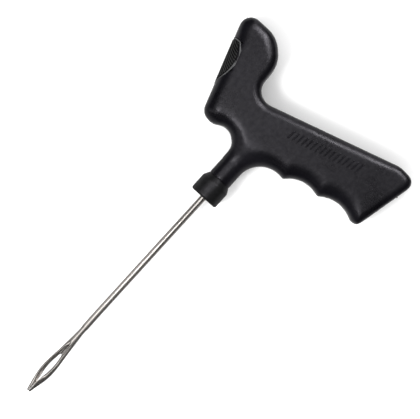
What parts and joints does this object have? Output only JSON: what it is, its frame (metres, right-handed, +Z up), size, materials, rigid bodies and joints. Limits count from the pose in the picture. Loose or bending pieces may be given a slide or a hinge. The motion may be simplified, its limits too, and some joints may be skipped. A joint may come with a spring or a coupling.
{
  "type": "tyre plug insertion tool",
  "caption": "Pistol-grip tyre plug insertion tool: a straight steel needle with an open split eye, clamped in the collar of a black moulded handle with finger grooves.",
  "frame": {"origin": "under the middle of the tool's bounding box, on the surface that it lies on", "axes": "+X along the needle's axis, from its tip towards the handle; +Y towards the handle's head; +Z up, square to the flat sides of the handle"},
  "size_m": [0.2444, 0.1342, 0.025],
  "materials": {
    "handle_plastic": "black moulded nylon with a satin, slightly worn surface",
    "collar_plastic": "black moulded nylon, satin",
    "pad_rubber": "matt ribbed rubber",
    "needle_steel": "drawn and polished steel rod with fine lengthwise lines",
    "socket_steel": "turned steel",
    "screw_steel": "black oxide steel"
  },
  "bodies": {
    "handle": {"handle_shell_upper": "handle_plastic", "handle_shell_lower": "handle_plastic", "neck_collar": "collar_plastic", "thumb_pad": "pad_rubber", "needle_socket": "socket_steel", "socket_cross_pin": "socket_steel", "shell_screws": "screw_steel"},
    "needle": {"needle": "needle_steel"},
    "clamp_screw": {"clamp_screw": "screw_steel"}
  },
  "joints": [
    {"name": "needle_slide", "type": "slide", "parent": "handle", "child": "needle", "axis": [-1, 0, 0], "range_m": [0, 0.045]},
    {"name": "clamp_screw_turn", "type": "hinge", "parent": "handle", "child": "clamp_screw", "pos_m": [0.03345, 0.01586, 0.0038], "axis": [0, 0, -1], "range_deg": [0, 1080]}
  ]
}
